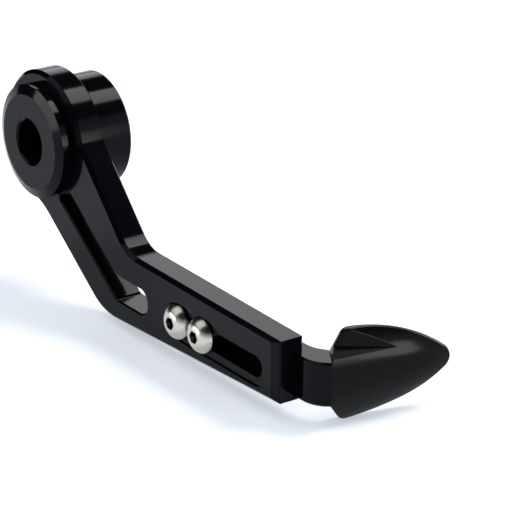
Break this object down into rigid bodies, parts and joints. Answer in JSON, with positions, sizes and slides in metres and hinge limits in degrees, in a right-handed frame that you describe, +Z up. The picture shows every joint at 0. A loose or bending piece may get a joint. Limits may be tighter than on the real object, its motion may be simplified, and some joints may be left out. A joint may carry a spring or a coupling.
{
  "type": "brake lever guard",
  "caption": "Brake lever guard: a bent arm on a bar-end hub, with a slotted leg that clamps a sliding stem carrying a leaf-shaped moulded blade.",
  "frame": {"origin": "on the hub axis, in the rear face of the collar that seats on the bar end", "axes": "+X forward along the arm's lower leg and its slide, +Y inward along the handlebar, +Z up"},
  "size_m": [0.134, 0.0477, 0.0592],
  "materials": {
    "black_anodised": "gloss",
    "blade_plastic": "satin",
    "screw_steel": "gloss"
  },
  "bodies": {
    "hub": {"hub_cap": "black_anodised", "bar_end_collar": "black_anodised"},
    "swing_arm": {"arm": "black_anodised"},
    "reach": {"slide_stem": "black_anodised", "guard_blade": "blade_plastic", "clamp_screw_inner": "screw_steel", "clamp_screw_outer": "screw_steel"}
  },
  "joints": [
    {"name": "angle_swivel", "type": "hinge", "parent": "hub", "child": "swing_arm", "pos_m": [0, 0, 0], "axis": [0, 1, 0], "continuous": true},
    {"name": "reach_slide", "type": "slide", "parent": "swing_arm", "child": "reach", "axis": [1, 0, 0], "range_m": [0, 0.022]}
  ]
}
